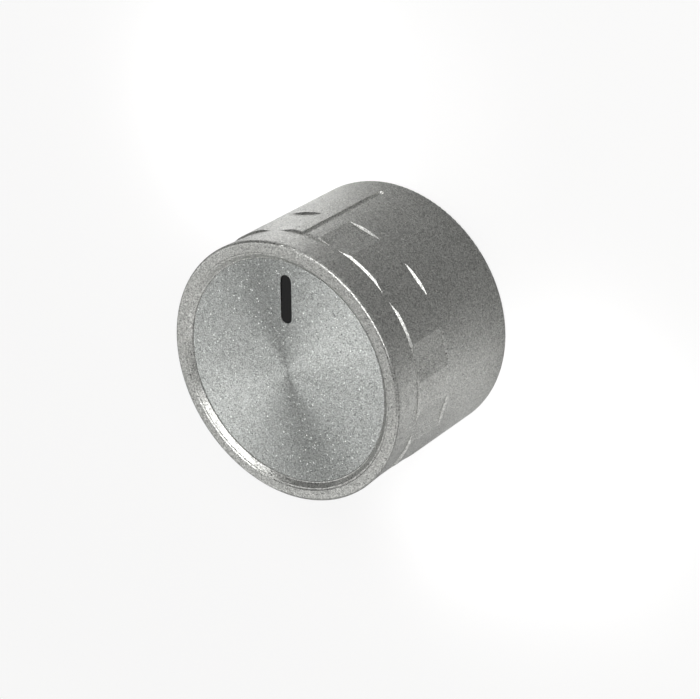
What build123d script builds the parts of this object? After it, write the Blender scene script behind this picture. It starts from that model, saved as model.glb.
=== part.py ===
from build123d import *
import math
import os

# A cooker knob for a 6 mm D-shaped spindle. Millimetres, +Z out of the panel towards the user.
# The origin is on the spindle axis in the plane of the rear rim, and the pointer is towards +Y.

# ---- Outside -----------------------------------------------------------------
body_radius = 20.0          # skirt at the rear rim
height = 27.8               # rear rim to the front of the bezel
body_taper = 0.05           # how much slimmer the skirt is at the grip shoulder
rear_rounding = 0.3         # outer edge of the rear rim

# ---- Grip shoulder and front band --------------------------------------------
band_length = 5.15          # grip shoulder to the front of the bezel
shoulder_step = 0.28        # front band below the skirt, down a slope as long as it is deep
band_flare = 0.20           # how much wider the front band is at the bezel
hollow_count = 12           # grip hollows round the skirt
hollow_length = 7.8         # along the axis, back from the shoulder
hollow_depth = 0.30         # below the skirt, at the middle of a hollow
hollow_end_slope = 0.5      # sloping rear end of the cutter, as deep as it is long
hollow_curve_radius = 34.0  # the shallow curve across a hollow

# ---- Engraved line along the side --------------------------------------------
line_width = 1.0
line_depth = 0.42
line_rear_gap = 3.6         # rear rim to the end of the line

# ---- Bezel -------------------------------------------------------------------
bezel_rounding = 0.45       # outer edge of the bezel
bezel_width = 1.66          # outer side of the bezel to the first edge inside it
lip_width = 0.16            # small bevel inside that edge
lip_depth = 0.14
ledge_width = 0.20          # narrow ledge between the two bevels
bevel_width = 0.75          # main bevel, down to the disc
bevel_depth = 0.58
foot_radius = 0.20          # hollow curve at the foot of the main bevel

# ---- Face disc ---------------------------------------------------------------
disc_thickness = 1.0        # at its edge
disc_dish = 0.35            # how much lower the middle of the face is
disc_edge_rounding = 0.06
disc_clearance = 0.05       # radial gap to the pocket wall

# ---- Pointer -----------------------------------------------------------------
pointer_width = 1.9
pointer_length = 7.5
pointer_edge_gap = 1.98     # outer end of the pointer to the edge of the disc
pointer_recess = 0.15       # top of the inlay below the face
pointer_clearance = 0.04    # all round, in the slot and in the pocket under it
pointer_foot_lip = 0.8      # how far the foot reaches beyond the slot
pointer_foot_depth = 0.8    # pocket for the foot in the front wall

# ---- Walls -------------------------------------------------------------------
skirt_wall = 2.3
front_wall = 2.4
root_fillet = 0.6           # where the skirt and the hub meet the front wall

# ---- Hub and spindle ---------------------------------------------------------
spindle_diameter = 6.0
spindle_across_flat = 4.6   # from the flat to the far side of the spindle
round_clearance = 0.25      # radial, where the spindle is round
flat_clearance = 0.05       # radial and at the flat, where it is D-shaped
hub_radius = 6.3
hub_setback = 1.5           # hub mouth behind the plane of the rear rim
hub_chamfer = 0.5           # outer edge and bore edge of the mouth
round_length = 6.0          # round stretch of the bore
flat_length = 10.0          # D-shaped stretch behind it
slit_width = 1.0            # the two slits that let the hub give
slit_length = 9.0

# ---- Hub clip ----------------------------------------------------------------
clip_thickness = 0.6
clip_width = 4.5
clip_setback = 2.0          # hub mouth to the clip
clip_gap_deg = 40.0         # opening of the band
clip_groove_depth = 0.35
clip_clearance = 0.05       # endwise play in its seat

# ---- Ribs --------------------------------------------------------------------
rib_count = 4
rib_thickness = 1.6
rib_height = 6.0            # below the front wall

# ---- Worked out from the sizes above -----------------------------------------
shoulder_radius = body_radius - body_taper
shoulder_z = height - band_length
band_radius = shoulder_radius - shoulder_step
bezel_radius = band_radius + band_flare
hollow_floor_radius = shoulder_radius - hollow_depth

lip_outer_radius = bezel_radius - bezel_width
ledge_outer_radius = lip_outer_radius - lip_width
ledge_inner_radius = ledge_outer_radius - ledge_width
pocket_radius = ledge_inner_radius - bevel_width
foot_ledge = foot_radius / 2
ledge_z = height - lip_depth
face_edge_z = ledge_z - bevel_depth
pocket_floor_z = face_edge_z - disc_thickness
disc_radius = pocket_radius - disc_clearance
pointer_middle = disc_radius - pointer_edge_gap - pointer_length / 2

cavity_radius = body_radius - skirt_wall
roof_z = pocket_floor_z - front_wall

round_radius = spindle_diameter / 2 + round_clearance
flat_stretch_radius = spindle_diameter / 2 + flat_clearance
flat_offset = spindle_across_flat - spindle_diameter / 2 + flat_clearance
round_start_z = hub_setback + hub_chamfer
flat_start_z = round_start_z + round_length
clip_z = hub_setback + clip_setback
clip_groove_radius = hub_radius - clip_groove_depth

diagonal = math.sqrt(0.5)   # middle of a quarter-circle arc, as a share of its radius
overcut = 1.0               # how far a cutting shape runs past the face that it opens


def body_outline():
    """Half section of the shell, from the axis over the bezel to the rim and back up the inside."""
    with BuildLine() as outline:
        Polyline(
            (0, hub_setback),
            (0, pocket_floor_z),
            (pocket_radius, pocket_floor_z),
            (pocket_radius, face_edge_z),
        )
        FilletPolyline(
            (pocket_radius, face_edge_z),
            (pocket_radius + foot_ledge, face_edge_z),
            (ledge_inner_radius, ledge_z),
            radius=foot_radius,
        )
        Polyline(
            (ledge_inner_radius, ledge_z),
            (ledge_outer_radius, ledge_z),
            (lip_outer_radius, height),
            (bezel_radius - bezel_rounding, height),
        )
        outer_corner((bezel_radius, height), bezel_rounding)
        Polyline(
            (bezel_radius, height - bezel_rounding),
            (band_radius, shoulder_z),
            (shoulder_radius, shoulder_z - shoulder_step),
            (body_radius, rear_rounding),
        )
        RadiusArc((body_radius, rear_rounding), (body_radius - rear_rounding, 0), rear_rounding)
        Polyline(
            (body_radius - rear_rounding, 0),
            (cavity_radius, 0),
            (cavity_radius, roof_z - root_fillet),
            (cavity_radius - root_fillet, roof_z),
            (hub_radius + root_fillet, roof_z),
            (hub_radius, roof_z - root_fillet),
            (hub_radius, hub_setback + hub_chamfer),
            (hub_radius - hub_chamfer, hub_setback),
            (0, hub_setback),
        )
    return outline


def outer_corner(corner, rounding):
    """Quarter arc that rounds a top outer corner of a half section."""
    radius, z = corner
    inset = rounding * (1 - diagonal)
    ThreePointArc((radius - rounding, z), (radius - inset, z - inset), (radius, z - rounding))


def pointer_outline(margin):
    """The pointer's round-ended shape, grown by margin all round."""
    with Locations((0, pointer_middle)):
        SlotOverall(pointer_length + 2 * margin, pointer_width + 2 * margin, rotation=90)


def knob_body():
    """The moulded shell, with its hub and ribs."""
    with BuildPart() as body:
        with BuildSketch(Plane.XZ):
            add(body_outline())
            make_face()
        revolve(axis=Axis.Z)

        # Ribs between the hub and the skirt, on the diagonals.
        rib_length = cavity_radius - hub_radius + 2 * overcut
        with PolarLocations((hub_radius + cavity_radius) / 2, rib_count, start_angle=45):
            with Locations((0, 0, roof_z + overcut)):
                Box(
                    rib_length,
                    rib_thickness,
                    rib_height + overcut,
                    align=(Align.CENTER, Align.CENTER, Align.MAX),
                )

        # Grip hollows, half a pitch away from the engraved line.
        half_pitch = 180 / hollow_count
        cutter_distance = hollow_floor_radius + hollow_curve_radius
        with PolarLocations(cutter_distance, hollow_count, start_angle=90 + half_pitch):
            with Locations((0, 0, shoulder_z)):
                Cylinder(
                    hollow_curve_radius,
                    hollow_length - hollow_end_slope,
                    align=(Align.CENTER, Align.CENTER, Align.MAX),
                    mode=Mode.SUBTRACT,
                )
            with Locations((0, 0, shoulder_z - hollow_length)):
                Cone(
                    hollow_curve_radius - hollow_end_slope,
                    hollow_curve_radius,
                    hollow_end_slope,
                    align=(Align.CENTER, Align.CENTER, Align.MIN),
                    mode=Mode.SUBTRACT,
                )

        # Engraved line: a round-bottomed groove with a round rear end, open at the shoulder.
        line_radius = line_width / 2
        line_start_z = line_rear_gap + line_radius
        with Locations((0, shoulder_radius - line_depth + line_radius, line_start_z)):
            Sphere(line_radius, mode=Mode.SUBTRACT)
            Cylinder(
                line_radius,
                shoulder_z - line_start_z,
                align=(Align.CENTER, Align.CENTER, Align.MIN),
                mode=Mode.SUBTRACT,
            )

        # Pocket for the foot of the pointer.
        with BuildSketch(Plane.XY.offset(pocket_floor_z)):
            pointer_outline(pointer_foot_lip)
        extrude(amount=-pointer_foot_depth, mode=Mode.SUBTRACT)

        # Bore: a lead-in, a round stretch, then a D-shaped stretch.
        with Locations((0, 0, hub_setback)):
            Cone(
                round_radius + hub_chamfer,
                round_radius,
                hub_chamfer,
                align=(Align.CENTER, Align.CENTER, Align.MIN),
                mode=Mode.SUBTRACT,
            )
        with Locations((0, 0, round_start_z)):
            Cylinder(
                round_radius,
                round_length,
                align=(Align.CENTER, Align.CENTER, Align.MIN),
                mode=Mode.SUBTRACT,
            )
        with BuildSketch(Plane.XY.offset(flat_start_z)):
            Circle(flat_stretch_radius)
            with Locations((0, flat_offset)):
                Rectangle(
                    2 * flat_stretch_radius,
                    2 * flat_stretch_radius,
                    align=(Align.CENTER, Align.MIN),
                    mode=Mode.SUBTRACT,
                )
        extrude(amount=flat_length, mode=Mode.SUBTRACT)

        # Slits through the hub, from its mouth.
        with Locations((0, 0, hub_setback - overcut)):
            Box(
                2 * hub_radius + overcut,
                slit_width,
                slit_length + overcut,
                align=(Align.CENTER, Align.CENTER, Align.MIN),
                mode=Mode.SUBTRACT,
            )

        # Seat of the clip, round the hub.
        with BuildSketch(Plane.XY.offset(clip_z - clip_clearance)):
            Circle(hub_radius + overcut)
            Circle(clip_groove_radius, mode=Mode.SUBTRACT)
        extrude(amount=clip_width + 2 * clip_clearance, mode=Mode.SUBTRACT)
    return body.part


def face_disc():
    """Turned disc: flat back, face dished as a very shallow cone, slot for the pointer."""
    shelf = disc_edge_rounding
    with BuildPart() as disc:
        with BuildSketch(Plane.XZ):
            with BuildLine():
                Polyline(
                    (disc_radius - shelf, face_edge_z),
                    (0, face_edge_z - disc_dish),
                    (0, pocket_floor_z),
                    (disc_radius, pocket_floor_z),
                    (disc_radius, face_edge_z - shelf),
                )
                outer_corner((disc_radius, face_edge_z), shelf)
            make_face()
        revolve(axis=Axis.Z)
        with BuildSketch(Plane.XY.offset(pocket_floor_z)):
            pointer_outline(0)
        extrude(amount=disc_thickness, mode=Mode.SUBTRACT)
    return disc.part


def pointer_inlay():
    """Black bar that fills the slot, on a wider foot held under the disc."""
    face_at_pointer_z = face_edge_z - disc_dish * (1 - pointer_middle / disc_radius)
    with BuildPart() as inlay:
        with BuildSketch(Plane.XY.offset(pocket_floor_z - pointer_foot_depth)):
            pointer_outline(pointer_foot_lip - pointer_clearance)
        extrude(amount=pointer_foot_depth)
        with BuildSketch(Plane.XY.offset(pocket_floor_z)):
            pointer_outline(-pointer_clearance)
        extrude(amount=face_at_pointer_z - pointer_recess - pocket_floor_z)
    return inlay.part


def hub_clip():
    """Open band of spring steel round the slit hub, with its gap on the -Y side."""
    with BuildPart() as clip:
        with BuildSketch(Plane.XZ):
            with Locations((clip_groove_radius, clip_z)):
                Rectangle(clip_thickness, clip_width, align=(Align.MIN, Align.MIN))
        revolve(axis=Axis.Z, revolution_arc=360 - clip_gap_deg)
    return clip.part.rotate(Axis.Z, clip_gap_deg / 2 - 90)


pieces = {
    "knob_body": knob_body,
    "face_disc": face_disc,
    "pointer_inlay": pointer_inlay,
    "hub_clip": hub_clip,
}

os.makedirs("parts", exist_ok=True)
for name, make in pieces.items():
    export_step(make(), f"parts/{name}.step")
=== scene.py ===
"""A stove knob: materials for its four CAD nodes, a pale floor, soft lamps, and the photo's angle of view."""

import math

import bpy
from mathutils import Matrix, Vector

MM = 0.001

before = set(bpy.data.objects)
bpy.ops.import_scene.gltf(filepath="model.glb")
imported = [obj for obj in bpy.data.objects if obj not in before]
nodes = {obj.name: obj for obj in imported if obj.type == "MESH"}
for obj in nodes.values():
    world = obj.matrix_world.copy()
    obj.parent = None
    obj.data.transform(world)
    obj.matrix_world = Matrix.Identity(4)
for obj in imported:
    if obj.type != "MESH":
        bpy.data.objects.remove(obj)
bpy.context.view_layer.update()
scene = bpy.context.scene


# ---- Node helpers ------------------------------------------------------------
class Tree:
    """The node tree of a new material or world, with short ways to add and link nodes."""

    def __init__(self, name, store=bpy.data.materials, output="ShaderNodeOutputMaterial"):
        self.owner = store.new(name)
        self.owner.use_nodes = True
        self.tree = self.owner.node_tree
        self.tree.nodes.clear()
        self.output = self.add(output)

    def add(self, kind, **settings):
        node = self.tree.nodes.new(kind)
        for key, value in settings.items():
            setattr(node, key, value)
        return node

    def link(self, source, target):
        self.tree.links.new(source, target)

    def feed(self, value, socket):
        """Links a socket's value, or sets a plain one."""
        if isinstance(value, bpy.types.NodeSocket):
            self.link(value, socket)
        else:
            socket.default_value = value

    def math(self, operation, a, b=0.0, clamp=False):
        node = self.add("ShaderNodeMath", operation=operation, use_clamp=clamp)
        self.feed(a, node.inputs[0])
        self.feed(b, node.inputs[1])
        return node.outputs[0]

    def weighted(self, a, weight_a, b, weight_b):
        """The sum of two values, each times its weight."""
        return self.math("ADD", self.math("MULTIPLY", a, weight_a), self.math("MULTIPLY", b, weight_b))

    def vector_math(self, operation, a, b):
        node = self.add("ShaderNodeVectorMath", operation=operation)
        self.feed(a, node.inputs[0])
        self.feed(b, node.inputs[1])
        return node.outputs[0]

    def position(self):
        """The place on the object, in metres."""
        return self.add("ShaderNodeTexCoord").outputs["Object"]

    def noise(self, scale, detail, vector=None, roughness=0.5):
        node = self.add("ShaderNodeTexNoise")
        self.link(vector or self.position(), node.inputs["Vector"])
        node.inputs["Scale"].default_value = scale
        node.inputs["Detail"].default_value = detail
        node.inputs["Roughness"].default_value = roughness
        return node.outputs["Fac"]

    def cells(self, scale):
        """A random colour for every cell of a cell pattern."""
        node = self.add("ShaderNodeTexVoronoi", feature="F1")
        self.link(self.position(), node.inputs["Vector"])
        node.inputs["Scale"].default_value = scale
        return node.outputs["Color"]

    def channel(self, colour, name):
        node = self.add("ShaderNodeSeparateColor")
        self.link(colour, node.inputs["Color"])
        return node.outputs[name]

    def spread(self, value, first, last, over=(0.0, 1.0)):
        """Runs evenly from first to last while the value runs over a range, and stays level outside it."""
        node = self.add("ShaderNodeMapRange", clamp=True)
        self.link(value, node.inputs["Value"])
        node.inputs["From Min"].default_value = over[0]
        node.inputs["From Max"].default_value = over[1]
        node.inputs["To Min"].default_value = first
        node.inputs["To Max"].default_value = last
        return node.outputs["Result"]

    def tint(self, factor, dark, light):
        node = self.add("ShaderNodeMix", data_type="RGBA")
        self.link(factor, node.inputs["Factor"])
        node.inputs["A"].default_value = (*dark, 1)
        node.inputs["B"].default_value = (*light, 1)
        return node.outputs["Result"]

    def bump(self, height, distance, under=None):
        """The normal over small heights, laid on another normal where one is given."""
        node = self.add("ShaderNodeBump")
        self.link(height, node.inputs["Height"])
        node.inputs["Distance"].default_value = distance
        node.inputs["Strength"].default_value = 1.0
        if under:
            self.link(under, node.inputs["Normal"])
        return node.outputs["Normal"]

    def surface(self, colour, roughness, metallic, normal, **constants):
        """The usual shader, linked to the output. Constants name its other sockets, with _ for a space."""
        shader = self.add("ShaderNodeBsdfPrincipled")
        self.link(colour, shader.inputs["Base Color"])
        self.link(roughness, shader.inputs["Roughness"])
        shader.inputs["Metallic"].default_value = metallic
        self.link(normal, shader.inputs["Normal"])
        for name, value in constants.items():
            shader.inputs[name.replace("_", " ")].default_value = value
        self.link(shader.outputs[0], self.output.inputs["Surface"])
        return shader

    def plain_white(self, kind, strength=1.0):
        """A white emission or background."""
        node = self.add(kind)
        node.inputs["Color"].default_value = (1, 1, 1, 1)
        node.inputs["Strength"].default_value = strength
        return node

    def whitened(self, usual, white, camera, mirror):
        """Links a shader to the output, mixed with white: by one share for what the camera sees, and by
        another for what reflections and glass show. For the light that falls on things it stays unmixed."""
        path = self.add("ShaderNodeLightPath")
        mirrored = self.math("ADD", path.outputs["Is Glossy Ray"], path.outputs["Is Transmission Ray"])
        mix = self.add("ShaderNodeMixShader")
        self.link(self.weighted(path.outputs["Is Camera Ray"], camera, mirrored, mirror), mix.inputs[0])
        self.link(usual.outputs[0], mix.inputs[1])
        self.link(white.outputs[0], mix.inputs[2])
        self.link(mix.outputs[0], self.output.inputs["Surface"])


# ---- Materials ---------------------------------------------------------------
def lean(t, cell, amount):
    """A small vector that tips a surface normal its own way in every cell."""
    scaled = t.add("ShaderNodeVectorMath", operation="SCALE")
    t.link(t.vector_math("SUBTRACT", cell, (0.5, 0.5, 0.5)), scaled.inputs[0])
    scaled.inputs["Scale"].default_value = amount
    return scaled.outputs[0]


def flaked(t, scale, tilt, glossy_scale, glossy_tilt, rare):
    """Metal flakes: every cell leans its own way, and a rare share of larger ones is much glossier.

    Returns the leaning normal, a random number per flake, and 1 on the glossy flakes."""
    flakes = t.cells(scale)
    large = t.cells(glossy_scale)
    glossy = t.math("GREATER_THAN", t.channel(large, "Green"), 1 - rare)
    either = t.add("ShaderNodeMix", data_type="VECTOR")
    t.link(glossy, either.inputs["Factor"])
    t.link(lean(t, flakes, tilt), either.inputs["A"])
    t.link(lean(t, large, glossy_tilt), either.inputs["B"])
    level = t.add("ShaderNodeNewGeometry").outputs["Normal"]
    unit = t.add("ShaderNodeVectorMath", operation="NORMALIZE")
    t.link(t.vector_math("ADD", level, either.outputs["Result"]), unit.inputs[0])
    return unit.outputs[0], t.channel(flakes, "Red"), glossy


def silver_paint():
    """Silver paint on plastic: fine flakes in a clouded, slightly uneven coat."""
    t = Tree("silver_paint")
    normal, flake, glossy = flaked(t, scale=8200, tilt=0.08, glossy_scale=6000, glossy_tilt=0.14, rare=0.03)
    fine = t.noise(scale=9000, detail=3)
    mottle = t.noise(scale=900, detail=4)
    shade = t.weighted(flake, 0.8, fine, 0.2)
    colour = t.tint(shade, dark=(0.16, 0.161, 0.154), light=(0.80, 0.803, 0.770))
    glossier = t.math("MULTIPLY", glossy, 0.18)
    roughness = t.math("SUBTRACT", t.spread(mottle, first=0.34, last=0.40), glossier)
    normal = t.bump(mottle, distance=0.004 * MM, under=normal)
    t.surface(colour, roughness, metallic=0.95, normal=normal)
    return t.owner


def turned_metal():
    """Metal turned on a lathe: fine rings round the disc's centre, flakes, and fans of light across them."""
    t = Tree("turned_metal")
    place = t.add("ShaderNodeSeparateXYZ")
    t.link(t.position(), place.inputs[0])
    x = place.outputs["X"]
    y = place.outputs["Y"]
    radius = t.math("SQRT", t.weighted(x, x, y, y))
    drift_per_radian = 0.8 * MM
    polar = t.add("ShaderNodeCombineXYZ")
    t.link(radius, polar.inputs["X"])
    t.link(t.math("MULTIPLY", t.math("ARCTAN2", y, x), drift_per_radian), polar.inputs["Y"])
    rings = t.noise(scale=7000, detail=4, vector=polar.outputs[0], roughness=0.6)
    normal, flake, glossy = flaked(t, scale=9600, tilt=0.13, glossy_scale=6200, glossy_tilt=0.20, rare=0.035)
    brighter = t.math("MULTIPLY", glossy, 0.3)
    shade = t.math("ADD", t.weighted(flake, 0.75, rings, 0.25), brighter, clamp=True)
    colour = t.tint(shade, dark=(0.13, 0.134, 0.13), light=(0.88, 0.906, 0.88))
    glossier = t.math("MULTIPLY", glossy, 0.20)
    roughness = t.math("SUBTRACT", t.spread(rings, first=0.34, last=0.44, over=(0.3, 0.7)), glossier)
    rougher_centre = t.spread(radius, first=0.08, last=0.0, over=(2 * MM, 10 * MM))
    roughness = t.math("ADD", roughness, rougher_centre)
    normal = t.bump(rings, distance=0.006 * MM, under=normal)
    shader = t.surface(colour, roughness, metallic=1.0, normal=normal, Anisotropic=0.8)
    tangent = t.add("ShaderNodeTangent", direction_type="RADIAL", axis="Z")
    t.link(tangent.outputs[0], shader.inputs["Tangent"])
    return t.owner


def black_inlay():
    """Matt black plastic with a fine speck."""
    t = Tree("black_inlay")
    speck = t.noise(scale=5000, detail=3)
    colour = t.tint(speck, dark=(0.005, 0.005, 0.005), light=(0.014, 0.014, 0.015))
    roughness = t.spread(speck, first=0.55, last=0.75)
    normal = t.bump(speck, distance=0.01 * MM)
    t.surface(colour, roughness, metallic=0.0, normal=normal, Specular_IOR_Level=0.2)
    return t.owner


def spring_steel():
    """Drawn steel, with streaks that run round the clip."""
    t = Tree("spring_steel")
    squeeze = t.add("ShaderNodeMapping")
    t.link(t.position(), squeeze.inputs["Vector"])
    squeeze.inputs["Scale"].default_value = (1, 1, 12)
    streaks = t.noise(scale=1500, detail=4, vector=squeeze.outputs[0])
    colour = t.tint(streaks, dark=(0.42, 0.42, 0.43), light=(0.66, 0.66, 0.67))
    roughness = t.spread(streaks, first=0.22, last=0.4)
    t.surface(colour, roughness, metallic=1.0, normal=t.bump(streaks, distance=0.004 * MM))
    return t.owner


def floor_white():
    """A pale floor that keeps a faint soft shadow, and is plain white far away. It lights the knob less than
    its looks would. In reflections its white is a glow that fades close to the knob: painted shade, which
    darkens the skirt's reflection of the floor near the knob."""
    t = Tree("floor_white")
    away = t.add("ShaderNodeVectorMath", operation="LENGTH")
    t.link(t.position(), away.inputs[0])
    distance = away.outputs["Value"]
    seen = t.add("ShaderNodeLightPath").outputs["Is Camera Ray"]
    pale = t.add("ShaderNodeBsdfDiffuse")
    t.link(t.tint(seen, dark=(0.28, 0.28, 0.28), light=(0.80, 0.79, 0.78)), pale.inputs["Color"])
    camera = t.spread(distance, first=0.80, last=1.0, over=(0.12, 0.6))
    # Painted shade in reflections: the white glow that metal mirrors fades out close to the knob.
    mirror = t.spread(distance, first=0.02, last=0.5, over=(0.06, 0.16))
    t.whitened(pale, t.plain_white("ShaderNodeEmission"), camera, mirror)
    return t.owner


finishes = {
    "knob_body": silver_paint(),
    "face_disc": turned_metal(),
    "pointer_inlay": black_inlay(),
    "hub_clip": spring_steel(),
}
for name, material in finishes.items():
    mesh = nodes[name].data
    mesh.materials.clear()
    mesh.materials.append(material)


# ---- Floor and world ---------------------------------------------------------
def studio():
    """A dim room that is white to the camera, and faintly so in reflections."""
    t = Tree("studio", bpy.data.worlds, "ShaderNodeOutputWorld")
    room = t.plain_white("ShaderNodeBackground", strength=0.01)
    t.whitened(room, t.plain_white("ShaderNodeBackground"), camera=1.0, mirror=0.08)
    return t.owner


bpy.ops.mesh.primitive_plane_add(size=6, location=(0, 0, 0))
floor = bpy.context.object
floor.name = "floor"
floor.data.materials.append(floor_white())
scene.world = studio()


# ---- Lamps -------------------------------------------------------------------
LAMP_DISTANCE = 0.6
LAMP_AIM = Vector((0, 0, 15 * MM))
PAD_DISTANCE = 36 * MM
PAD_HEIGHT = 12 * MM

# Widths and heights of the lamps, in metres.
STRIP = (0.28, 0.17)
LARGE = (0.30, 0.30)
MIDDLE = (0.25, 0.25)
SMALL = (0.15, 0.15)
PAD = (20 * MM, 30 * MM)


def area_lamp(name, power, size):
    light = bpy.data.lights.new(name, "AREA")
    light.shape = "RECTANGLE"
    light.size, light.size_y = size
    light.energy = power
    lamp = bpy.data.objects.new(name, light)
    scene.collection.objects.link(lamp)
    return lamp


def softbox(name, azimuth, elevation, power, size=LARGE):
    """A soft lamp aimed at the knob. Azimuth runs from +X towards +Y."""
    a = math.radians(azimuth)
    e = math.radians(elevation)
    away = Vector((math.cos(a) * math.cos(e), math.sin(a) * math.cos(e), math.sin(e)))
    lamp = area_lamp(name, power, size)
    lamp.location = LAMP_AIM + away * LAMP_DISTANCE
    lamp.rotation_mode = "QUATERNION"
    lamp.rotation_quaternion = away.to_track_quat("Z", "Y")


def pad(name, azimuth, power):
    """A small low lamp that lights only the floor beside the knob, which the skirt then reflects."""
    a = math.radians(azimuth)
    lamp = area_lamp(name, power, PAD)
    lamp.location = (PAD_DISTANCE * math.cos(a), PAD_DISTANCE * math.sin(a), PAD_HEIGHT)
    lamp.rotation_euler = (0, 0, a)
    lamp.visible_camera = False


# The key light is a row of three strips, which the bevels and the grip shoulder mirror.
softbox("key_right", azimuth=37, elevation=45, power=0.84, size=STRIP)
softbox("key_middle", azimuth=62, elevation=45, power=0.33, size=STRIP)
softbox("key_left", azimuth=87, elevation=45, power=0.98, size=STRIP)

# The rest fill in round the knob. On the turned disc, a lamp's fans of light lie at right angles to it.
softbox("overhead", azimuth=62, elevation=68, power=0.50)
softbox("low_front", azimuth=62, elevation=22, power=0.05)
softbox("back_left", azimuth=200, elevation=40, power=0.27, size=MIDDLE)
softbox("back_right", azimuth=240, elevation=40, power=0.33, size=MIDDLE)
softbox("left", azimuth=180, elevation=25, power=0.15)
softbox("lower", azimuth=260, elevation=25, power=0.30)
softbox("top_left", azimuth=165, elevation=62, power=0.37)
softbox("low_side", azimuth=296, elevation=15, power=0.32)
softbox("side", azimuth=312, elevation=32, power=0.27)
softbox("right", azimuth=338, elevation=33, power=0.20)
softbox("far_left", azimuth=100, elevation=20, power=0.20)
softbox("edge", azimuth=286, elevation=56, power=0.11, size=SMALL)

pad("pad_lower", azimuth=-62, power=0.0031)
pad("pad_right", azimuth=-25, power=0.0090)
pad("pad_upper", azimuth=88, power=0.0006)
pad("pad_left", azimuth=131, power=0.0145)

# ---- Camera ------------------------------------------------------------------
# Fitted to the knob's outline in the photo. The place is in metres.
LENS_MM = 103.063
SENSOR_MM = 36.0
CAMERA_PLACE = (0.154270, 0.130373, 0.228469)
CAMERA_DEGREES = (-26.2002, 35.6529, 0.6183)

view = bpy.data.cameras.new("view")
view.sensor_width = SENSOR_MM
view.lens = LENS_MM
camera = bpy.data.objects.new("view", view)
camera.location = CAMERA_PLACE
camera.rotation_euler = [math.radians(angle) for angle in CAMERA_DEGREES]
scene.collection.objects.link(camera)
scene.camera = camera

scene.view_settings.view_transform = "Standard"
